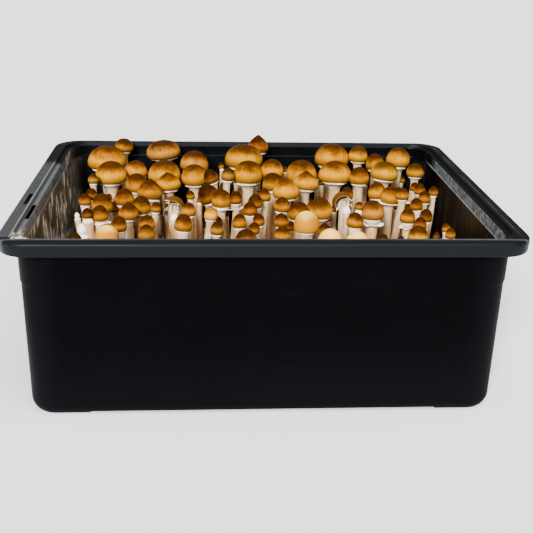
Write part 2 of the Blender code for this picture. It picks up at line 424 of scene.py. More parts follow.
def rounded_ring(bm, half_x, half_y, radius, height):
    """One level loop of edges: a rectangle with rounded corners."""
    points = []
    for side_x, side_y, start in ((1, 1, 0), (-1, 1, 90), (-1, -1, 180), (1, -1, 270)):
        middle = Vector((side_x * (half_x - radius), side_y * (half_y - radius), height))
        for step in range(RIM_STEPS + 1):
            angle = radians(start + 90 * step / RIM_STEPS)
            points.append((middle + Vector((radius * cos(angle), radius * sin(angle), 0))) * MM)
    return closed_loop(bm, points)


def block(bm, low, high):
    """A box between two corners, in millimetres."""
    low, high = Vector(low), Vector(high)
    place = Matrix.Translation((low + high) / 2 * MM) @ Matrix.Diagonal((*((high - low) * MM), 1))
    bmesh.ops.create_cube(bm, size=1, matrix=place)


def face_outwards(bm, faces=None):
    """Turns a closed shape's faces outwards."""
    bmesh.ops.recalc_face_normals(bm, faces=faces or bm.faces)


def add_mesh(name, bm, materials=()):
    """Puts a finished mesh in the scene."""
    mesh = bpy.data.meshes.new(name)
    bm.to_mesh(mesh)
    bm.free()
    for made in materials:
        mesh.materials.append(made)
    return put_in_scene(name, mesh)


def add_piece(name, bm, materials, nodes=()):
    """Puts a finished mesh in the scene as a piece that rides on the object's one body."""
    piece = add_mesh(name, bm, materials)
    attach(piece, "root")
    if nodes:
        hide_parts(*nodes)
    return piece


def cut_away(piece, blocks):
    """Cuts blocks from a piece, and leaves only the cut mesh."""
    tools = []
    for number, corners in enumerate(blocks):
        bm = bmesh.new()
        block(bm, *corners)
        tool = add_mesh(f"cutter_{number}", bm)
        cut = piece.modifiers.new(tool.name, "BOOLEAN")
        cut.object, cut.operation, cut.solver = tool, "DIFFERENCE", "EXACT"
        tools.append(tool)
    evaluated = piece.evaluated_get(bpy.context.evaluated_depsgraph_get())
    mesh = bpy.data.meshes.new_from_object(evaluated)
    piece.modifiers.clear()
    piece.data = mesh
    for tool in tools:
        bpy.data.objects.remove(tool)


def make_tub():
    """The section lofted round as one shell, then the gaps between its feet and its slots cut."""
    bm = bmesh.new()
    rings = [rounded_ring(bm, *section) for section in TUB_SECTION]
    for number, (lower, upper) in enumerate(zip(rings, rings[1:])):
        made = bmesh.ops.bridge_loops(bm, edges=lower + upper)
        for face in made["faces"]:
            outside = RIM if number < RIM_ENDS else WALL
            face.material_index = INSIDE if number < RIM_STARTS else outside
    floor_top = bmesh.ops.contextual_create(bm, geom=rings[0])
    for face in floor_top["faces"]:
        face.material_index = INSIDE
    bmesh.ops.contextual_create(bm, geom=rings[-1])
    face_outwards(bm)
    if bm.calc_volume(signed=True) < 0:
        bmesh.ops.reverse_faces(bm, faces=bm.faces)
    plastics = [tub_wall(), tub_rim(), tub_inside()]
    piece = add_piece("tub_shell", bm, plastics, ["tub"])
    reach = CUTTER_REACH
    foot_x, foot_y = TUB_SECTION[-1][0] - FOOT_LENGTH, TUB_SECTION[-1][1] - FOOT_WIDTH
    blocks = [
        ((-foot_x, -reach, -reach), (foot_x, reach, FOOT_HEIGHT)),
        ((-reach, -foot_y, -reach), (reach, foot_y, FOOT_HEIGHT)),
    ]
    for x, y, width, length, bottom in CLIP_SLOTS:
        low = (x - width / 2, y - length / 2, bottom)
        blocks.append((low, (x + width / 2, y + length / 2, CUTTER_TOP)))
    cut_away(piece, blocks)
    for polygon in piece.data.polygons:
        polygon.use_smooth = True
    piece.data.set_sharp_from_angle(angle=SHARP_EDGE)


make_tub()


# ---- the growing medium ----
# A packed bed of moist brown wood fibre that white mycelium has grown through. It was pressed
# into the tub to a third of its depth, and its top is lumpy where the crop has pushed up.
BED_HALF = (196.0, 153.2)
BED_CORNER = 20.0
BED_TOP = 56.6
BED_FOOT = 15.0
BED_GRID = (190, 150)
# The width and height of the top's swells and of its clods.
SWELLS = (28.0, 1.3)
CLODS = (5.5, 0.9)


def moist_fibre():
    """Brown fibre with white threads of mycelium."""
    made, shader = new_material("moist_fibre", Specular_IOR_Level=0.3)
    place = object_place(shader)
    fibres = drawn_marks(place, (1.0, 0.35, 1.0), 520.0, 0.35, 0.7)
    lumps = spot_noise(place, 70.0, 6.0)
    wet, damp, dry = tone(44, 28, 17), tone(84, 56, 34), tone(120, 86, 54)
    colour = ramp(lumps, (0.3, wet), (0.55, damp), (0.75, dry))
    colour = blend(meet(fibres, 0.5), colour, tone(134, 100, 66))
    threads = drawn_marks(place, (1.0, 1.0, 1.0), 46.0, 0.5, 0.68)
    fuzz = spot_noise(place, 420.0, 4.0)
    white = meet(threads, band(fuzz, 0.38, 0.62))
    colour = blend(white, colour, tone(226, 218, 202))
    feed(shader, {"Base Color": colour, "Roughness": band(lumps, 0.3, 0.7, 0.7, 0.95)})
    bumped(shader, sums("ADD", fibres, fuzz), 0.6, 0.0012)
    return made


def bed_height(x, y):
    """The lumpy top, in millimetres."""
    swell = noise.fractal(Vector((x / SWELLS[0], y / SWELLS[0], 1.7)), 0.8, 2.1, 5)
    clod = noise.noise(Vector((x / CLODS[0], y / CLODS[0], 9.0)))
    return BED_TOP + SWELLS[1] * swell + CLODS[1] * max(0.0, clod)


def make_bed():
    """A grid, its corners drawn in to fit the tub's, lifted to the lumpy top and given walls."""
    bm = bmesh.new()
    stretch = Matrix.Diagonal((BED_HALF[0] * MM, BED_HALF[1] * MM, 1, 1))
    along, across = BED_GRID
    bmesh.ops.create_grid(bm, x_segments=along, y_segments=across, size=1, matrix=stretch)
    for vert in bm.verts:
        x, y = vert.co.x / MM, vert.co.y / MM
        over_x = abs(x) - (BED_HALF[0] - BED_CORNER)
        over_y = abs(y) - (BED_HALF[1] - BED_CORNER)
        if over_x > 0 and over_y > 0:
            shrink = max(over_x, over_y) / hypot(over_x, over_y)
            x -= (1 - shrink) * over_x * (1 if x > 0 else -1)
            y -= (1 - shrink) * over_y * (1 if y > 0 else -1)
        vert.co = Vector((x, y, bed_height(x, y))) * MM
    rim = [edge for edge in bm.edges if edge.is_boundary]
    walls = bmesh.ops.extrude_edge_only(bm, edges=rim)
    low = [item for item in walls["geom"] if isinstance(item, bmesh.types.BMVert)]
    for vert in low:
        vert.co.z = BED_FOOT * MM
    bottom = [item for item in walls["geom"] if isinstance(item, bmesh.types.BMEdge)]
    bmesh.ops.contextual_create(bm, geom=bottom)
    face_outwards(bm)
    for face in bm.faces:
        face.smooth = True
    add_piece("growing_bed", bm, [moist_fibre()], ["growing_medium"])


make_bed()


# ---- the single mushrooms ----
# Each is one fruit body: a fleshy golden-brown cap with a darker crown, the pale veil that still
# closes its underside, and a fibrous cream stem. Each stands in the bed, where its stem is lost
# in the mycelium.

# How high above the floor the stems end, inside the bed.
BED_REACH = 54.0
# The cap's outline from the crown to the margin: shares of its radius and of its height.
CAP_SHAPES = {
    "dome": [(0.0, 1.0), (0.15, 0.992), (0.31, 0.965), (0.5, 0.91), (0.68, 0.82), (0.83, 0.69),
             (0.94, 0.53), (0.99, 0.37), (1.0, 0.24), (0.985, 0.13), (0.94, 0.06), (0.86, 0.03)],
    "cone": [(0.0, 1.0), (0.1, 0.98), (0.2, 0.93), (0.34, 0.86), (0.54, 0.76), (0.74, 0.64),
             (0.89, 0.49), (0.98, 0.34), (1.0, 0.22), (0.98, 0.13), (0.93, 0.06), (0.85, 0.03)],
    "egg": [(0.0, 1.0), (0.2, 0.98), (0.4, 0.93), (0.6, 0.84), (0.78, 0.71), (0.91, 0.56),
            (0.98, 0.41), (1.0, 0.28), (0.98, 0.16), (0.92, 0.08), (0.84, 0.04), (0.76, 0.03)],
}
# The veil under it: a thin pale edge, then a funnel that closes on the stem.
VEIL_EDGE = [(0.78, 0.01), (0.765, -0.03), (0.775, -0.055), (0.755, -0.085), (0.7, -0.09)]
VEIL_FUNNEL = [(0.72, 0.13), (0.42, 0.19), (0.2, 0.28), (0.07, 0.38)]
# A cap whose veil has torn away: its margin, then the hollow underside up to the stem.
OPEN_EDGE = [(0.82, 0.0), (0.78, 0.04), (0.74, 0.12), (0.66, 0.2), (0.5, 0.27)]
OPEN_HOLLOW = [(0.45, -0.3), (0.25, -0.34), (0.12, -0.35), (0.04, -0.3)]
# The shreds of veil that still hang under it, and the lengths each is made of.
SHRED_COUNT = 15
SHRED_STEPS = 5
# A torn cap's rise as it tips, its extra width, and how sharply it and the rest bend.
TORN_LIFT = 0.3
TORN_SPREAD = 1.12
TORN_BEND = 14.0
USUAL_BEND = 3.0
# A torn ring's section, from its inner edge over the top and back: share of reach, and drop.
RUFFLE_SECTION = [(0.42, -1.3), (0.75, -0.4), (1.0, 0.0), (0.97, -0.7), (0.72, -1.2), (0.42, -2.2)]
RUFFLE_STEPS = 36
# Where in the veil's colours a ring is, as a share of the cap's radius: near its white edge.
RING_SKIN = 0.74
# A stem's radius under a cap of no width, what each millimetre of the cap adds to it, and how
# much wider it is at its foot.
STEM_LEAST = 1.9
STEM_GAIN = 0.11
STEM_FLARE = 0.32
STEM_RINGS = 8
# Where the veil's funnel starts and how deep it ends: shares of the cap's radius and height.
FUNNEL_FROM = 0.72
FUNNEL_DEPTH = 0.45
# The degrees every cap tilts back, and how a stem's lean grows towards its foot.
TILT_BACK = 5.0
LEAN_BEND = 1.4
# How much swells and ripples move the skin: shares of its distance from the axis.
CAP_SWELL = 0.10
STEM_SWELL = 0.08
STEM_RIPPLE = 0.14
# Caps wider than this are domes, and smaller ones egg-shaped.
DOME_FROM = 17.0
# How many steps a mushroom is turned in when its cap is wider than each size, and a pin's steps.
TURN_STEPS = [(26.0, 28), (16.0, 22), (0.0, 16)]
PIN_STEPS = 10
# The skins on a mushroom, in the order of its materials.
CAP, VEIL, STEM, GILLS = range(4)

# Skin colours, each with how dark its crown goes. Past 1 the dark reaches lower, and where it is
# near 0 the crown is bleached pale instead.
SKINS = {
    "golden": (0.55, 0.225, 0.0, 1.0),
    "honey": (0.72, 0.29, 0.02, 0.6),
    "russet": (0.34, 0.108, 0.004, 1.3),
    "amber": (0.44, 0.158, 0.002, 1.2),
    "olive": (0.30, 0.145, 0.010, 1.1),
    "rosy": (0.45, 0.180, 0.012, 1.05),
    "brown": (0.24, 0.082, 0.006, 1.3),
    "cream": (0.92, 0.48, 0.09, 0.15),
    "yellow": (0.50, 0.175, 0.0, 0.15),
    "white": (0.98, 0.93, 0.86, 0.0),
}
# The mushrooms unlike the rest: cap shape, skin, tilt and the way it tilts, in degrees.
ODD_SINGLES = {
    1: ("cone", "russet", 0, 0),
    3: ("dome", "rosy", 5, 200),
    6: ("dome", "golden", 3, 20),
    9: ("dome", "rosy", 8, 30),
    19: ("dome", "golden", 5, 250),
    22: ("cone", "golden", 4, 0),
    23: ("cone", "golden", 4, 200),
    24: ("egg", "olive", 5, 90),
    25: ("egg", "brown", 26, 200),
    28: ("cone", "amber", 4, 270),
    29: ("egg", "amber", 3, 0),
    30: ("dome", "amber", 3, 0),
    33: ("egg", "olive", 2, 0),
    35: ("dome", "yellow", 4, 260),
    40: ("dome", "cream", 4, 250),
}
# Caps that have opened flatter than the rest of their size: share of the usual height.
FLAT_CAPS = {2: 0.8, 3: 0.8, 5: 0.92, 13: 0.92, 14: 0.94, 15: 0.84, 17: 0.86, 20: 0.96, 22: 0.9,
             23: 0.87, 35: 0.82}
# Mushrooms that stand a little lower than the rest of their kind, in millimetres.
SUNK = {32: 1.0, 35: 3.0}
# Stems thicker than the cap above would say.
STOUT_SINGLES = {20: 1.2, 29: 1.5, 30: 1.4, 31: 1.3, 32: 1.5, 35: 1.5, 36: 1.3, 39: 1.4}
# The golden angle, by which each stem leans another way than the last, how far its foot stands
# aside, as a share of its cap, and the most that a cap tilts.
GOLDEN_TURN = 137.5
FOOT_ASIDE = 0.2
SINGLE_TILT = 6
# Where two pins stand instead of one mushroom: each one's place, depth of crown and diameter.
TWIN_PINS = {34: [(-1.2, 3.0, 0.0, 8.0), (1.8, -2.2, 2.6, 9.6)]}


def flattened(place):
    """A place with its height left out."""
    x, y, _ = split(place)
    return node(place.id_data, "CombineXYZ", {"X": x, "Y": y}).outputs[0]


def direction_place(place, ring, rise):
    """A place for marks that run up a mushroom: round its axis by ring, and along it by rise."""
    tree = place.id_data
    round_it = node(tree, "VectorMath", {0: flattened(place)}, operation="NORMALIZE").outputs[0]
    wide = node(tree, "VectorMath", {0: round_it, "Scale": ring}, operation="SCALE").outputs[0]
    x, y, _ = split(wide)
    return node(tree, "CombineXYZ", {"X": x, "Y": y, "Z": meet(split(place)["Z"], rise)}).outputs[0]


def grown_place(shader):
    """Where a point is on its mushroom: across in cap radii, and up in cap heights above the veil
    or stem lengths below it."""
    return node(shader.id_data, "Attribute", attribute_name="grown").outputs["Vector"]


def cap_skin():
    """Satin skin in its own colour, with a darker crown and fine lines, and a margin partly in
    painted shade.
    """
    made, shader = new_material("cap_skin", Specular_IOR_Level=0.06,
                                Specular_Tint=(1.0, 0.62, 0.16, 1.0), Subsurface_Weight=0.04,
                                Subsurface_Scale=0.002, Subsurface_Radius=(1.0, 0.5, 0.1))
    place = object_place(shader)
    grown = grown_place(shader)
    height = split(grown)["Z"]
    own = node(shader.id_data, "Attribute", attribute_name="skin").outputs
    skin, depth = own["Color"], own["Alpha"]
    blotch = spot_noise(place, 110.0, 4.0)
    lines = drawn_marks(direction_place(grown, 11.0, 1.2), (1, 1, 1), 1.7, 0.4, 0.68)
    wander = meet(sums("SUBTRACT", blotch, 0.5), 0.55)
    rough = sums("ADD", sums("ADD", height, wander), meet(lines, 0.09))
    reach = meet(sums("SUBTRACT", depth, 1.0), 0.5)
    crown = sums("ADD", rough, sums("MAXIMUM", reach, 0.0))
    brown = blend(1.0, skin, (0.34, 0.27, 0.3, 1.0), "MULTIPLY")
    darkest = blend(1.0, skin, (0.055, 0.036, 0.10, 1.0), "MULTIPLY")
    colour = blend(meet(band(crown, 0.44, 0.76), depth), skin, brown)
    colour = blend(meet(band(crown, 0.64, 0.94), depth), colour, darkest)
    # the lower part goes darker and olive: partly the cap's own colour, partly painted shade under
    # its curve
    low = blend(1.0, skin, (0.30, 0.33, 0.8, 1.0), "MULTIPLY")
    low_tint_and_shade = meet(band(height, 0.06, 0.46, 1.0, 0.0), depth)
    colour = blend(low_tint_and_shade, colour, low)
    low_lines = meet(lines, band(height, 0.02, 0.6, 0.85, 0.16))
    colour = blend(meet(low_lines, depth), colour, brown)
    bleached = meet(band(depth, 0.3, 0.2), band(rough, 0.60, 1.12))
    colour = blend(meet(bleached, 0.9), colour, (1.0, 0.62, 0.12, 1.0))
    flecks = cells(place, 520.0)
    speck = meet(band(flecks, 0.05, 0.16, 1.0, 0.0), band(blotch, 0.55, 0.7))
    colour = blend(meet(speck, 0.3), colour, (0.85, 0.7, 0.45, 1.0))
    feed(shader, {"Base Color": colour, "Roughness": band(blotch, 0.3, 0.7, 0.32, 0.48)})
    bumped(shader, sums("ADD", lines, blotch), 0.25, 0.0006)
    return made


def veil_skin():
    """The thin skin that closes a cap: white at its edge, and shaded and threaded inwards."""
    made, shader = new_material("veil_skin", Roughness=0.7, Specular_IOR_Level=0.3,
                                Subsurface_Weight=0.15, Subsurface_Scale=0.003)
    grown = grown_place(shader)
    flat = flattened(grown)
    across = node(flat.id_data, "VectorMath", {0: flat}, operation="LENGTH").outputs["Value"]
    threads = drawn_marks(direction_place(grown, 12.0, 3.0), (1, 1, 1), 1.5, 0.4, 0.7)
    inner, shaded, edge = tone(232, 202, 160), tone(196, 160, 128), tone(255, 240, 214)
    colour = ramp(across, (0.3, inner), (0.62, shaded), (0.75, edge))
    colour = blend(meet(threads, 0.4), colour, tone(168, 132, 104))
    feed(shader, {"Base Color": colour})
    bumped(shader, threads, 0.3, 0.0005)
    return made


def stem_flesh():
    """Cream fibres, darker and browner towards the foot."""
    made, shader = new_material("stem_flesh", Specular_IOR_Level=0.35,
                                Subsurface_Weight=0.2, Subsurface_Scale=0.004)
    place = object_place(shader)
    grown = grown_place(shader)
    height = split(grown)["Z"]
    fibres = drawn_marks(direction_place(grown, 7.0, 4.0), (1, 1, 1), 1.4, 0.38, 0.72)
    cloud = spot_noise(place, 55.0, 3.0)
    colour = blend(band(cloud, 0.35, 0.65), tone(250, 228, 180), tone(230, 186, 128))
    colour = blend(meet(fibres, 0.72), colour, tone(156, 108, 62))
    foot = band(height, -0.55, -0.10, 1.0, 0.0)
    colour = blend(foot, colour, (0.48, 0.31, 0.17, 1.0), "MULTIPLY")
    feed(shader, {"Base Color": colour, "Roughness": band(cloud, 0.3, 0.7, 0.5, 0.68)})
    bumped(shader, fibres, 0.8, 0.0010)
    return made


def gill_flesh():
    """The underside of a cap that has lost its veil: brown gills running out from the stem."""
    made, shader = new_material("gill_flesh", Roughness=0.75, Specular_IOR_Level=0.1)
    grown = grown_place(shader)
    plates = drawn_marks(direction_place(grown, 26.0, 1.0), (1, 1, 1), 1.6, 0.4, 0.6)
    cloud = spot_noise(object_place(shader), 140.0)
    colour = blend(cloud, (0.17, 0.085, 0.03, 1.0), (0.40, 0.24, 0.11, 1.0))
    colour = blend(meet(plates, 0.7), colour, (0.05, 0.022, 0.008, 1.0))
    feed(shader, {"Base Color": colour})
    bumped(shader, plates, 0.6, 0.0008)
    return made


flesh = [cap_skin(), veil_skin(), stem_flesh(), gill_flesh()]


def mixed_skin(diameter, chance):
    """Small caps are redder and large ones golden, each a little off the rest."""
    share = min(1.0, max(0.0, (diameter - 10) / 18 + chance.uniform(-0.25, 0.25)))
    young, old = Vector(SKINS["russet"]), Vector(SKINS["golden"])
    skin = young.lerp(old, share) * chance.uniform(0.86, 1.12)
    green = skin.y * chance.uniform(0.94, 1.1)
    return (skin.x, green, skin.z, chance.uniform(0.9, 1.1) + 0.3 * (1 - share))


def middle_of(low, high):
    """The middle of a box as seen from above, and the height of its top, in millimetres."""
    return ((low.x + high.x) / 2 / MM, (low.y + high.y) / 2 / MM), high.z / MM


def look_of(odd, diameter, chance, most_tilt):
    """A mushroom's cap shape, skin, tilt and the way it tilts: its own, or drawn by lot."""
    usual = "dome" if diameter > DOME_FROM else "egg"
    drawn = (usual, None, chance.uniform(0, most_tilt), chance.uniform(0, 360))
    shape, skin, tilt, tilts_to = odd or drawn
    return shape, SKINS[skin] if skin else mixed_skin(diameter, chance), tilt, tilts_to


def cap_height(diameter):
    """From veil to crown: small caps are as tall as they are wide, and large ones flatter."""
    return diameter * (1.1 - 0.0125 * diameter)


def cover_with_veil(bm, faces):
    """Gives faces the veil's skin, turned outwards, and finds their verts."""
    face_outwards(bm, faces)
    for face in faces:
        face.material_index = VEIL
        face.smooth = True
    return {vert for face in faces for vert in face.verts}


def torn_shreds(bm, radius, tall, veil, stem, seed):
    """Pale ribbons of the torn veil, from the stem's top out to the margin, and curled there."""
    chance = random.Random(int(seed * 10))
    faces = []
    for number in range(SHRED_COUNT):
        turn = 2 * pi * (number + chance.uniform(-0.3, 0.3)) / SHRED_COUNT
        reach, curl = chance.uniform(0.7, 1.08), chance.uniform(-0.42, 0.12)
        loops = []
        for step in range(SHRED_STEPS + 1):
            share = step / SHRED_STEPS
            across = stem * 0.8 + (reach * radius - stem * 0.8) * share
            up = veil + tall * (0.2 * (1 - share) ** 1.5 - 0.05 + curl * share ** 2)
            wide = (0.085 - 0.05 * share) * radius + 0.25
            bend = turn + 0.4 * sin(4 * share + 2 * number)
            middle = Vector((across * cos(bend), across * sin(bend), up))
            beside = Vector((-sin(bend), cos(bend), 0)) * wide
            thick = Vector((0, 0, 0.35))
            corners = (middle + beside, middle - thick, middle - beside, middle + thick)
            loops.append(closed_loop(bm, corners))
        for inner, outer in zip(loops, loops[1:]):
            faces += bmesh.ops.bridge_loops(bm, edges=inner + outer)["faces"]
        for end in (loops[0], loops[-1]):
            faces += bmesh.ops.contextual_create(bm, geom=end)["faces"]
    return list(cover_with_veil(bm, faces))


def ruffled_ring(bm, middle, half_x, half_y, height, seed):
    """A torn ring of veil round the top of a stem: a thin wavy plate with a ragged edge."""
    grown = bm.verts.layers.float_vector["grown"]
    tinted = bm.verts.layers.float_color["skin"]
    loops = []
    for inward, drop in RUFFLE_SECTION:
        points = []
        for step in range(RUFFLE_STEPS):
            turn = 2 * pi * step / RUFFLE_STEPS
            ruffle = noise.noise(Vector((2.6 * cos(turn), 2.6 * sin(turn), seed)))
            ragged = noise.noise(Vector((4 * cos(turn), 4 * sin(turn), seed + 5)))
            reach = inward * (1 + 0.16 * ragged)
            up = drop + 2.4 * inward * ruffle
            across = Vector((half_x * reach * cos(turn), half_y * reach * sin(turn), up))
            points.append((across + Vector((*middle, height))) * MM)
        loops.append(closed_loop(bm, points))
    faces = []
    for lower, upper in zip(loops, loops[1:] + loops[:1]):
        faces += bmesh.ops.bridge_loops(bm, edges=lower + upper)["faces"]
    for vert in cover_with_veil(bm, faces):
        out = Vector((vert.co.x / MM - middle[0], vert.co.y / MM - middle[1], 0)).normalized()
        vert[grown] = out * RING_SKIN
        vert[tinted] = SKINS["white"]


def mushroom_outline(shape, torn, radius, stem, tall, veil, thin):
    """The section from crown to foot, and how many of its points come before veil and stem."""
    outline = [(radius * across, veil + tall * up) for across, up in CAP_SHAPES[shape][::thin]]
    cap_count = len(outline)
    edge, funnel = (OPEN_EDGE, OPEN_HOLLOW) if torn else (VEIL_EDGE, VEIL_FUNNEL)
    outline += [(radius * across, veil + tall * up) for across, up in edge[::thin]]
    inner = FUNNEL_FROM * radius
    for share, down in funnel[::thin]:
        outline.append((stem + (inner - stem) * share, veil - tall * down))
    veil_count = len(outline)
    top = veil - FUNNEL_DEPTH * tall
    rings = STEM_RINGS // (2 * thin - 1)
    for step in range(rings + 1):
        down = step / rings
        outline.append((stem * (1 + STEM_FLARE * down ** 2.5), top + (BED_REACH - top) * down))
    outline.append((0.0, BED_REACH))
    return outline, cap_count, veil_count


def spun(bm, outline, steps):
    """An outline turned all the way round the upright axis: its verts and its faces."""
    old_verts, old_faces = set(bm.verts), set(bm.faces)
    chain = [bm.verts.new((across, 0, up)) for across, up in outline]
    edges = [bm.edges.new(pair) for pair in zip(chain, chain[1:])]
    bmesh.ops.spin(bm, geom=chain + edges, cent=(0, 0, 0), axis=(0, 0, 1), angle=2 * pi,
                   steps=steps, use_merge=True)
    verts = [vert for vert in bm.verts if vert not in old_verts]
    bmesh.ops.remove_doubles(bm, verts=verts, dist=0.001)
    verts = [vert for vert in bm.verts if vert not in old_verts]
    faces = [face for face in bm.faces if face not in old_faces]
    face_outwards(bm, faces)
    return verts, faces


def roughened(place, diameter, seed, is_cap):
    """A place on the skin, moved in or out: it swells, and a stem has ripples down its fibres."""
    swell = Vector((place.x, place.y, place.z * 0.6)) / (0.55 * diameter)
    lumps = noise.noise(swell + Vector((seed, 0, 0)))
    fibre = Vector((place.x, place.y, place.z * 0.12)) / 1.7
    ripples = noise.noise(fibre + Vector((0, seed, 0)))
    out = Vector((place.x, place.y, 0))
    if out.length <= 0.01:
        return place
    amount = CAP_SWELL * lumps if is_cap else STEM_SWELL * lumps + STEM_RIPPLE * ripples
    return place + out * amount


def grow(bm, middle, crown, diameter, foot, look, seed, squat=1.0, stout=1.0, coarse=False):
    """One mushroom in a bmesh, in millimetres: its outline spun about its axis, roughened, tilted,
    and leant so that its stem starts at its foot."""
    grown = bm.verts.layers.float_vector.get("grown") or bm.verts.layers.float_vector.new("grown")
    tinted = bm.verts.layers.float_color.get("skin") or bm.verts.layers.float_color.new("skin")
    shape, skin, tilt, tilts_to = look
    torn = shape == "torn"
    if torn:
        shape = "dome"
        crown += TORN_LIFT * diameter
        diameter *= TORN_SPREAD
    radius = diameter / 2
    stem = (STEM_LEAST + STEM_GAIN * diameter) * stout
    tall = cap_height(diameter) * squat
    veil = crown - tall
    thin = 2 if coarse else 1
    outline, cap_count, veil_count = mushroom_outline(shape, torn, radius, stem, tall, veil, thin)
    steps = PIN_STEPS if coarse else next(many for size, many in TURN_STEPS if diameter > size)
    verts, faces = spun(bm, outline, steps)

    veil_at = outline[cap_count - 1][1] - 0.01
    stem_at = outline[veil_count - 1][1] - 0.01
    for face in faces:
        centre = face.calc_center_median()
        is_cap, is_veil = centre.z > veil_at - 0.02 * tall, centre.z > stem_at
        if torn:
            is_cap, is_veil = centre.z > veil, False
        face.material_index = CAP if is_cap else VEIL if is_veil else STEM
        facing_down = face.normal.z < -0.15 and hypot(centre.x, centre.y) < 0.84 * radius
        if torn and facing_down and centre.z > veil - 0.02 * tall:
            face.material_index = GILLS
        face.smooth = True
    if torn:
        verts += torn_shreds(bm, radius, tall, veil, stem, seed)

    way = radians(tilts_to)
    leaning = Vector((cos(way), sin(way), 0)) * tilt + Vector((0, TILT_BACK, 0))
    tilt_axis = Vector((-leaning.y, leaning.x, 0))
    pivot = Vector((0, 0, veil))
    lean = Vector((foot[0] - middle[0], foot[1] - middle[1], 0))
    bend = TORN_BEND if torn else USUAL_BEND
    for vert in verts:
        above = vert.co.z - veil
        share = above / tall if above > 0 else above / (veil - BED_REACH)
        vert[grown] = (vert.co.x / radius, vert.co.y / radius, share)
        vert[tinted] = skin
        place = roughened(vert.co, diameter, seed, above > -0.05 * tall)
        down = min(1.0, max(0.0, -above / (veil - BED_REACH)))
        tipped = radians(leaning.length) * (1 - min(1.0, down * bend)) ** 2
        place = Matrix.Rotation(tipped, 3, tilt_axis) @ (place - pivot) + pivot
        vert.co = (place + lean * down ** LEAN_BEND + Vector((*middle, 0))) * MM


def add_fruit(name, bm, stands_for):
    """A mushroom or a clump as a piece, with its facets rounded."""
    piece = add_piece(name, bm, flesh, [stands_for])
    smoother = piece.modifiers.new("rounding", "SUBSURF")
    smoother.levels = smoother.render_levels = 1


def make_singles():
    """Each takes its place, width and height from its solid."""
    singles = [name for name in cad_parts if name.startswith("mushroom_")]
    for name in sorted(singles):
        number = int(name[-2:])
        chance = random.Random(number)
        low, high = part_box(name)
        diameter = (high.x - low.x) / MM
        middle, top = middle_of(low, high)
        turn = radians(GOLDEN_TURN * number)
        aside = FOOT_ASIDE * diameter
        foot = (middle[0] + aside * cos(turn), middle[1] + aside * sin(turn))
        look = look_of(ODD_SINGLES.get(number), diameter, chance, SINGLE_TILT)
        squat, stout = FLAT_CAPS.get(number, 1.0), STOUT_SINGLES.get(number, 1.0)
        bm = bmesh.new()
        for x, y, below, across in TWIN_PINS.get(number, [(0, 0, 0, diameter)]):
            beside = (middle[0] + x, middle[1] + y)
            crown = top - below - SUNK.get(number, 0.0)
            grow(bm, beside, crown, across, foot, look, number * 3.7 + x, squat, stout)
        add_fruit(f"fruit_{number:02d}", bm, name)


make_singles()


# ---- the clumps ----
# Two to four mushrooms of the same flesh whose stems have grown together at the foot, so that a
# clump comes out of the bed as one body and pulls out of it as one.

# Each clump's foot, then each cap's place, depth of its crown below the highest, and diameter.
CLUMPS = {
    1: ((-0.3, -0.3), [(-7.3, -3.3, 0, 16), (7.7, 3.7, 1, 15)]),
    2: ((-1.2, 1.8), [(-7.2, 12.8, 2, 22), (4.8, -10.2, 0, 27)]),
    3: ((-1.0, 1.0), [(-8.0, 11.0, 0, 22), (6.0, -9.0, 0, 26)]),
    4: ((0.0, -2.9), [(-8.0, 12.1, 3, 19), (0.0, -6.9, 2, 20), (11.0, -15.9, 0, 13)]),
    5: ((-1.5, 0.2), [(-5.5, 9.2, 0, 12), (6.5, 1.2, 1, 10), (-4.5, -8.8, 3, 13)]),
    6: ((1.2, 0.7), [(4.2, 9.7, 0, 13), (-1.8, -6.3, 1, 18)]),
    7: ((-2.2, 1.2), [(-5.2, 10.2, 0, 12), (5.8, -4.8, 1, 21), (-10.2, -4.8, 1, 12)]),
    8: ((0.8, -2.5), [(-5.2, 0.5, 0, 20), (8.8, -4.5, 0, 13)]),
    9: ((-1.0, 1.5), [(8.0, 18.5, 0, 14), (-1.0, 4.5, 1, 15), (-8.0, -18.5, 2, 14)]),
    10: ((-1.0, 1.5), [(-9.0, 8.5, 0, 16), (7.0, -5.5, 0, 20)]),
    11: ((2.8, -2.1), [(-5.2, 6.9, 0, 19), (9.8, -12.1, 0, 10)]),
    12: ((-0.5, -2.9), [(-16.5, 11.1, 0, 19), (-0.5, -4.9, 0, 14), (19.5, -14.9, 1, 13)]),
    13: ((-3.5, 0.0), [(3.5, 0.0, 0, 22), (-10.5, -1.0, 1, 8)]),
    14: ((2.0, -0.7), [(7.0, 24.3, 0, 13), (9.0, -3.7, 2, 13), (-8.0, -3.7, 2, 15),
                       (-1.0, -24.7, 3, 12)]),
    15: ((-0.5, -0.3), [(3.5, 2.7, 0, 16), (-6.5, -5.3, 0, 10)]),
    16: ((-1.8, 0.0), [(9.2, 0.0, 0, 23), (-13.8, 0.0, 2, 14)]),
    17: ((1.5, 4.3), [(9.5, 13.3, 1, 12), (-8.5, 11.3, 1, 14), (3.5, -13.7, 0, 11)]),
    18: ((-2.0, 3.2), [(-3.0, 12.2, 1, 12), (0.0, -5.8, 0, 23)]),
}
# The same for clumped mushrooms, by clump and member.
ODD_MEMBERS = {
    (1, 1): ("egg", "brown", 22, 200),
    (1, 2): ("egg", "olive", 6, 0),
    (2, 2): ("cone", "golden", 5, 240),
    (3, 2): ("cone", "amber", 6, 60),
    (6, 2): ("torn", "brown", 78, 96),
    (12, 1): ("torn", "brown", 78, 82),
    (12, 3): ("egg", "honey", 4, 0),
    (13, 1): ("dome", "rosy", 0, 0),
    (15, 1): ("dome", "amber", 4, 300),
    (15, 2): ("egg", "brown", 4, 200),
    (16, 1): ("dome", "yellow", 5, 250),
    (18, 2): ("dome", "cream", 4, 270),
}
# How far apart the members' stems start, as a share of how far apart their caps are, and the most
# that a cap tilts.
KNOT_SPREAD = 0.15
MEMBER_TILT = 8
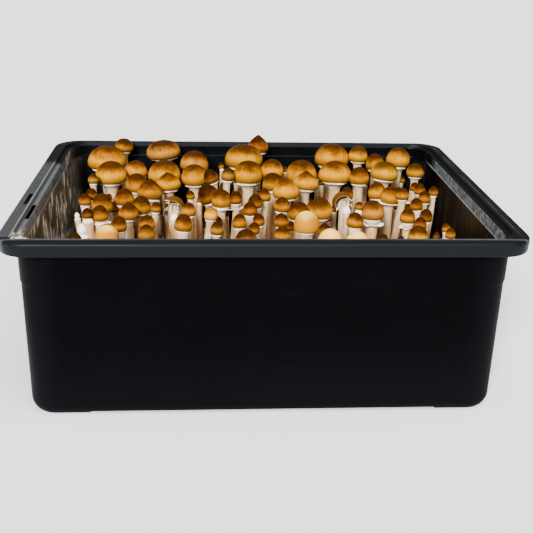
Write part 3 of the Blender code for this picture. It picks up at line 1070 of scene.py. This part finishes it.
# Clumps with stems thicker than their caps would say.
STOUT_CLUMPS = {4: 1.1, 7: 1.3, 9: 1.3, 12: 1.1, 13: 1.3, 14: 1.2, 15: 1.6, 16: 1.4}
# Torn rings of veil: place, half length, half width, and depth below the clump's top.
SHARED_RINGS = {
    4: [((4.5, -11.0), 17.0, 8.0, 16.5)],
    7: [((4.0, -16.0), 8.0, 6.0, 24.0)],
    8: [((0.5, -2.0), 16.0, 8.5, 17.5)],
    13: [((3.0, -2.0), 11.5, 9.5, 22.0)],
    14: [((-9.0, -6.0), 7.5, 6.0, 19.0)],
    15: [((4.0, 0.5), 10.0, 6.0, 16.0)],
}
# White buttons beside a clump: place, depth of the crown, diameter, and the stem's stoutness.
WHITE_BUTTONS = {6: [(0.0, -17.0, 11.0, 8.0, 1.0)], 12: [(-14.0, 1.0, 12.0, 8.0, 1.0)],
                 15: [(-16.0, -3.0, 5.0, 4.6, 1.2), (-11.5, -6.5, 14.0, 9.5, 2.2)]}


def make_clumps():
    """Every member starts near the clump's foot and grows out to its own place."""
    for number, (foot, members) in CLUMPS.items():
        name = f"clump_{number:02d}"
        centre, top = middle_of(*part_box(name))
        knot = (centre[0] + foot[0], centre[1] + foot[1])
        bm = bmesh.new()
        for member, (x, y, below, diameter) in enumerate(members, 1):
            chance = random.Random(100 * number + member)
            look = look_of(ODD_MEMBERS.get((number, member)), diameter, chance, MEMBER_TILT)
            middle = (centre[0] + x, centre[1] + y)
            start = (knot[0] + (middle[0] - knot[0]) * KNOT_SPREAD,
                     knot[1] + (middle[1] - knot[1]) * KNOT_SPREAD)
            stout = STOUT_CLUMPS.get(number, 1.0)
            grow(bm, middle, top - below, diameter, start, look, number * 5.3 + member, stout=stout)
        for (x, y), half_x, half_y, below in SHARED_RINGS.get(number, []):
            beside = (centre[0] + x, centre[1] + y)
            ruffled_ring(bm, beside, half_x, half_y, top - below, number * 1.3 + x)
        for x, y, below, diameter, stout in WHITE_BUTTONS.get(number, []):
            beside = (centre[0] + x, centre[1] + y)
            look = ("egg", SKINS["white"], 12, 250)
            grow(bm, beside, top - below, diameter, knot, look, number * 2.1 + x, stout=stout)
        add_fruit(f"{name}_fruit", bm, name)


make_clumps()


# ---- the young pins ----
# Small mushrooms of the next flush, of the same flesh. They come up through the bed between the
# grown stems, and are all joined by the mycelium under its surface.

# How many places are drawn by lot, though most are taken already, and the diameters drawn.
PIN_COUNT = 340
PIN_SIZES = (5.0, 11.5)
# The lowest a pin's crown may stand, the least play above that, how far it may stay below its
# headroom, its gap to a cap, and how far its foot may stand aside.
PIN_LOWEST = 72.0
PIN_PLAY = 6.0
PIN_SHORT = 42.0
PIN_GAP = 5.0
PIN_ASIDE = 3.5
# The room kept round a stem: the least, and what each millimetre of its cap adds.
ROOM_LEAST = 2.6
ROOM_GAIN = 0.12
# Dark young caps close behind the front wall: place, height of the crown, diameter.
FRONT_PINS = [(-160.5, -110.0, 148.5, 14.0), (-60.0, -112.0, 142.0, 11.0),
              (66.0, -72.0, 134.0, 12.0), (108.0, -80.0, 137.0, 9.0),
              (152.0, -104.0, 143.0, 7.0), (120.0, -96.0, 141.0, 8.0)]
# The bed they come up in: from and to along the tub, and from and to across it.
PIN_FIELD = (-160.0, 178.0, -112.0, 142.0)
# How high they may stand at the rear, in the middle, and at the front, where that falls.
REAR_FROM, REAR_TOP = 30.0, 147.0
FRONT_FROM, MIDDLE_TOP = -20.0, 136.0
FRONT_TOP, FRONT_FALL = 112.0, 0.25


def stem_lines():
    """Every grown mushroom as its foot, its cap's middle, its veil's height and its diameter."""
    lines = []
    for name in sorted(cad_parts):
        low, high = (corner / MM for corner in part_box(name))
        centre = (low + high) / 2
        if name.startswith("mushroom_"):
            diameter = high.x - low.x
            veil = high.z - cap_height(diameter)
            lines.append((centre.x, centre.y, centre.x, centre.y, veil, diameter))
        elif name.startswith("clump_"):
            foot, members = CLUMPS[int(name[-2:])]
            for x, y, below, diameter in members:
                veil = high.z - below - cap_height(diameter)
                place = (centre.x + foot[0], centre.y + foot[1], centre.x + x, centre.y + y)
                lines.append((*place, veil, diameter))
    return lines


def headroom(x, y, radius, lines):
    """How high a pin may stand at a place, or nothing where a stem is in the way."""
    falling = FRONT_TOP - FRONT_FALL * (FRONT_FROM - y)
    top = REAR_TOP if y > REAR_FROM else MIDDLE_TOP if y > FRONT_FROM else falling
    for foot_x, foot_y, cap_x, cap_y, veil, diameter in lines:
        room = ROOM_LEAST + ROOM_GAIN * diameter
        for share in (0.0, 0.35, 0.7, 1.0):
            stem_x, stem_y = foot_x + (cap_x - foot_x) * share, foot_y + (cap_y - foot_y) * share
            if hypot(x - stem_x, y - stem_y) < room + radius:
                return None
        if hypot(x - cap_x, y - cap_y) < diameter / 2 + radius:
            top = min(top, veil - PIN_GAP)
    return top


def make_pins():
    """Drawn by lot, each clear of the stems there, then the few that stand at the front."""
    chance = random.Random(7)
    lines = stem_lines()
    bm = bmesh.new()
    for number in range(PIN_COUNT):
        x, y = chance.uniform(*PIN_FIELD[:2]), chance.uniform(*PIN_FIELD[2:])
        diameter = chance.uniform(*PIN_SIZES)
        top = headroom(x, y, diameter / 2, lines)
        if top is None or top < PIN_LOWEST + PIN_PLAY:
            continue
        crown = chance.uniform(max(PIN_LOWEST, top - PIN_SHORT), top)
        turn, lean = chance.uniform(0, 2 * pi), chance.uniform(0, PIN_ASIDE)
        foot = (x + lean * cos(turn), y + lean * sin(turn))
        shape = chance.choice(["egg", "dome"])
        skin = mixed_skin(diameter + chance.uniform(0, 8), chance)
        look = (shape, skin, chance.uniform(0, 10), degrees(turn))
        grow(bm, (x, y), crown, diameter, foot, look, number * 1.9, coarse=True)
        lines.append((foot[0], foot[1], x, y, crown - 0.9 * diameter, diameter))
    for x, y, crown, diameter in FRONT_PINS:
        grow(bm, (x, y), crown, diameter, (x, y), ("egg", SKINS["brown"], 4, 0), x, coarse=True)
    add_piece("young_pins", bm, flesh)


make_pins()


# ---- the floor and the light ----
# A plain pale floor under two soft studio lamps: the key from the front left, and a broad fill
# from above on the right.
FLOOR_HALF = 6.0
WORLD_LIGHT = 0.34


def make_floor():
    """One square, far wider than the tub."""
    pale, _ = new_material("pale_floor", Roughness=0.9, Base_Color=tone(236, 236, 236))
    bm = bmesh.new()
    bmesh.ops.create_grid(bm, x_segments=1, y_segments=1, size=FLOOR_HALF)
    add_mesh("floor", bm, [pale])


def add_sun(name, azimuth, elevation, strength, spread):
    """A far lamp: azimuth from straight ahead, elevation and spread in degrees."""
    data = bpy.data.lights.new(name, "SUN")
    data.energy = strength
    data.angle = radians(spread)
    lamp = put_in_scene(name, data)
    turn, lift = radians(azimuth), radians(elevation)
    towards = Vector((sin(turn) * cos(lift), -cos(turn) * cos(lift), sin(lift)))
    lamp.rotation_euler = towards.to_track_quat("Z", "Y").to_euler()


make_floor()
add_sun("key_lamp", azimuth=-20, elevation=31, strength=9.4, spread=16)
add_sun("fill_lamp", azimuth=30, elevation=66, strength=3.4, spread=50)
world = bpy.data.worlds.new("studio")
world.use_nodes = True
feed(world.node_tree.nodes["Background"], {"Color": (1, 1, 1, 1), "Strength": WORLD_LIGHT})
bpy.context.scene.world = world
